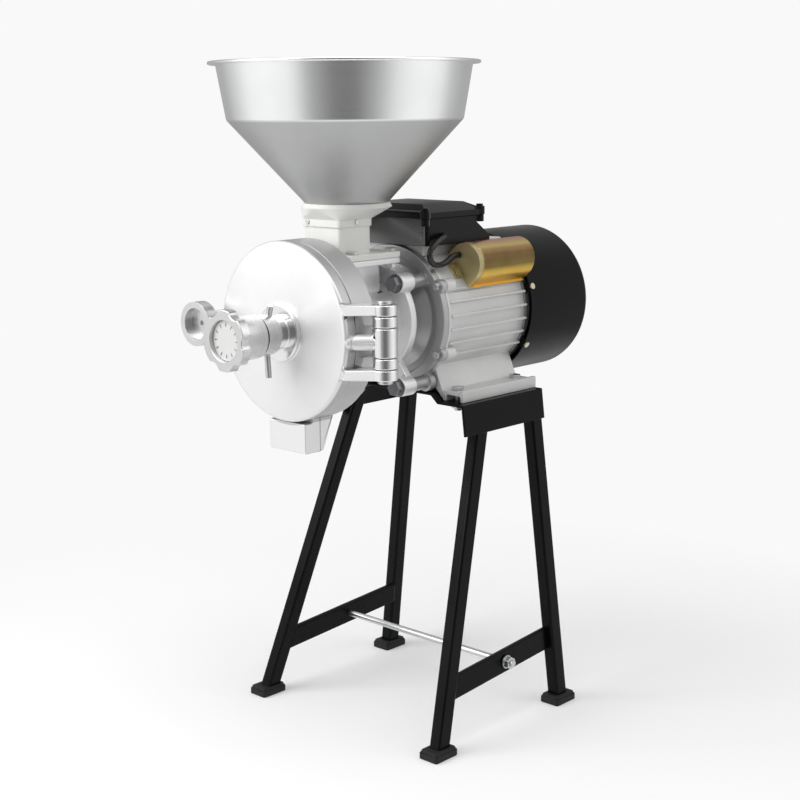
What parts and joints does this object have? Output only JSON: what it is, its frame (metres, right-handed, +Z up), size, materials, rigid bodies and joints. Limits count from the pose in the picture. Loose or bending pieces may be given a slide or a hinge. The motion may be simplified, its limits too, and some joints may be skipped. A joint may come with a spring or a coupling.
{
  "type": "electric grain mill",
  "caption": "Electric disc grain mill on a four-leg stand: conical hopper, round burr head with hinged door and adjusting knob, finned motor with fan cover.",
  "frame": {"origin": "on the floor, midway between the four feet", "axes": "+Z up, -Y to the front where the mill's door and adjusting knob are, +X to the hinge side, shaft along Y"},
  "size_m": [0.313, 0.5237, 0.769],
  "materials": {
    "black_enamel": "satin",
    "black_rubber": "matt",
    "zinc_hardware": "zinc plated",
    "cast_aluminium": "cast, clear painted",
    "shield_aluminium": "cast, painted",
    "core_steel": "laminated",
    "copper_winding": "varnished",
    "ground_steel": "ground",
    "black_plastic": "moulded",
    "lead_sheath": "smooth",
    "capacitor_case": "moulded",
    "terminal_resin": "moulded",
    "gold_zinc": "yellow passivated",
    "silver_casting": "silver painted",
    "burr_iron": "ground",
    "seal_rubber": "smooth",
    "polished_steel": "turned",
    "dial_paint": "printed",
    "cream_casting": "enamelled",
    "hopper_steel": "spun stainless"
  },
  "bodies": {
    "frame": {"saddle": "black_enamel", "leg_front_right": "black_enamel", "leg_front_left": "black_enamel", "leg_rear_right": "black_enamel", "leg_rear_left": "black_enamel", "brace_right": "black_enamel", "brace_left": "black_enamel", "foot_pads": "black_rubber", "tie_rod": "zinc_hardware", "tie_rod_washers": "zinc_hardware", "stand_nuts": "zinc_hardware", "motor_frame": "cast_aluminium", "motor_foot_bolts": "zinc_hardware", "stator_core": "core_steel", "stator_winding": "copper_winding", "bearing_outer_rings": "ground_steel", "front_shield": "shield_aluminium", "shield_bolts": "zinc_hardware", "rear_shield": "shield_aluminium", "fan_cover": "black_enamel", "cover_screws": "gold_zinc", "terminal_box": "black_plastic", "terminal_lid": "black_plastic", "terminal_lid_screws": "black_plastic", "terminal_block": "terminal_resin", "cable_gland": "black_plastic", "capacitor": "capacitor_case", "capacitor_cover": "gold_zinc", "capacitor_lead": "lead_sheath", "mill_housing": "silver_casting", "housing_bolts": "polished_steel", "shaft_seal": "seal_rubber", "hinge_pin": "polished_steel", "inlet_neck": "cream_casting", "flange_bolts": "zinc_hardware", "hopper_collar": "cream_casting", "collar_screws": "zinc_hardware", "hopper": "hopper_steel"},
    "drive": {"motor_shaft": "ground_steel", "rotor": "core_steel", "bearing_inner_rings": "ground_steel", "cooling_fan": "black_plastic", "auger": "burr_iron", "burr_carrier": "burr_iron", "turning_burr": "burr_iron", "burr_screws": "ground_steel", "shaft_nut": "ground_steel"},
    "front_balls": {"bearing_balls_front": "ground_steel"},
    "rear_balls": {"bearing_balls_rear": "ground_steel"},
    "door": {"mill_door": "silver_casting", "guide_pins": "ground_steel"},
    "feed": {"feed_plate": "burr_iron", "fixed_burr": "burr_iron", "fixed_burr_screws": "ground_steel"},
    "feed_screw": {"adjust_screw": "ground_steel", "adjust_knob": "polished_steel", "knob_dial": "dial_paint"},
    "lock_nut": {"lock_ring": "polished_steel"},
    "clamp_slide": {"clamp_washer": "zinc_hardware"},
    "clamp_screw": {"clamp_knob": "polished_steel"}
  },
  "joints": [
    {"name": "shaft_spin", "type": "hinge", "parent": "frame", "child": "drive", "pos_m": [0, 0, 0.48], "axis": [0, 1, 0], "continuous": true},
    {"name": "front_bearing_roll", "type": "hinge", "parent": "frame", "child": "front_balls", "pos_m": [0, -0.0385, 0.48], "axis": [0, 1, 0], "continuous": true},
    {"name": "rear_bearing_roll", "type": "hinge", "parent": "frame", "child": "rear_balls", "pos_m": [0, 0.11, 0.48], "axis": [0, 1, 0], "continuous": true},
    {"name": "door_swing", "type": "hinge", "parent": "frame", "child": "door", "pos_m": [0.123, -0.1695, 0.4773], "axis": [0, 0, 1], "range_deg": [0, 110]},
    {"name": "feed_travel", "type": "slide", "parent": "door", "child": "feed", "axis": [0, 1, 0], "range_m": [-0.0015, 0.0007]},
    {"name": "knob_turn", "type": "hinge", "parent": "feed", "child": "feed_screw", "pos_m": [0, -0.24, 0.48], "axis": [0, 1, 0], "range_deg": [-360, 168]},
    {"name": "lock_turn", "type": "hinge", "parent": "door", "child": "lock_nut", "pos_m": [0, -0.2313, 0.48], "axis": [0, 1, 0], "range_deg": [-60, 0]},
    {"name": "clamp_travel", "type": "slide", "parent": "door", "child": "clamp_slide", "axis": [0, 1, 0], "range_m": [0, 0.008]},
    {"name": "clamp_turn", "type": "hinge", "parent": "clamp_slide", "child": "clamp_screw", "pos_m": [-0.116, -0.2106, 0.481], "axis": [0, 1, 0], "range_deg": [0, 1920]}
  ],
  "couplings": [
    {"joint": "front_bearing_roll", "follows": "shaft_spin", "ratio": 0.4065},
    {"joint": "rear_bearing_roll", "follows": "shaft_spin", "ratio": 0.3925},
    {"joint": "feed_travel", "follows": "knob_turn", "m_per_rad": 0.0002387},
    {"joint": "clamp_travel", "follows": "clamp_turn", "m_per_rad": 0.0002387}
  ]
}
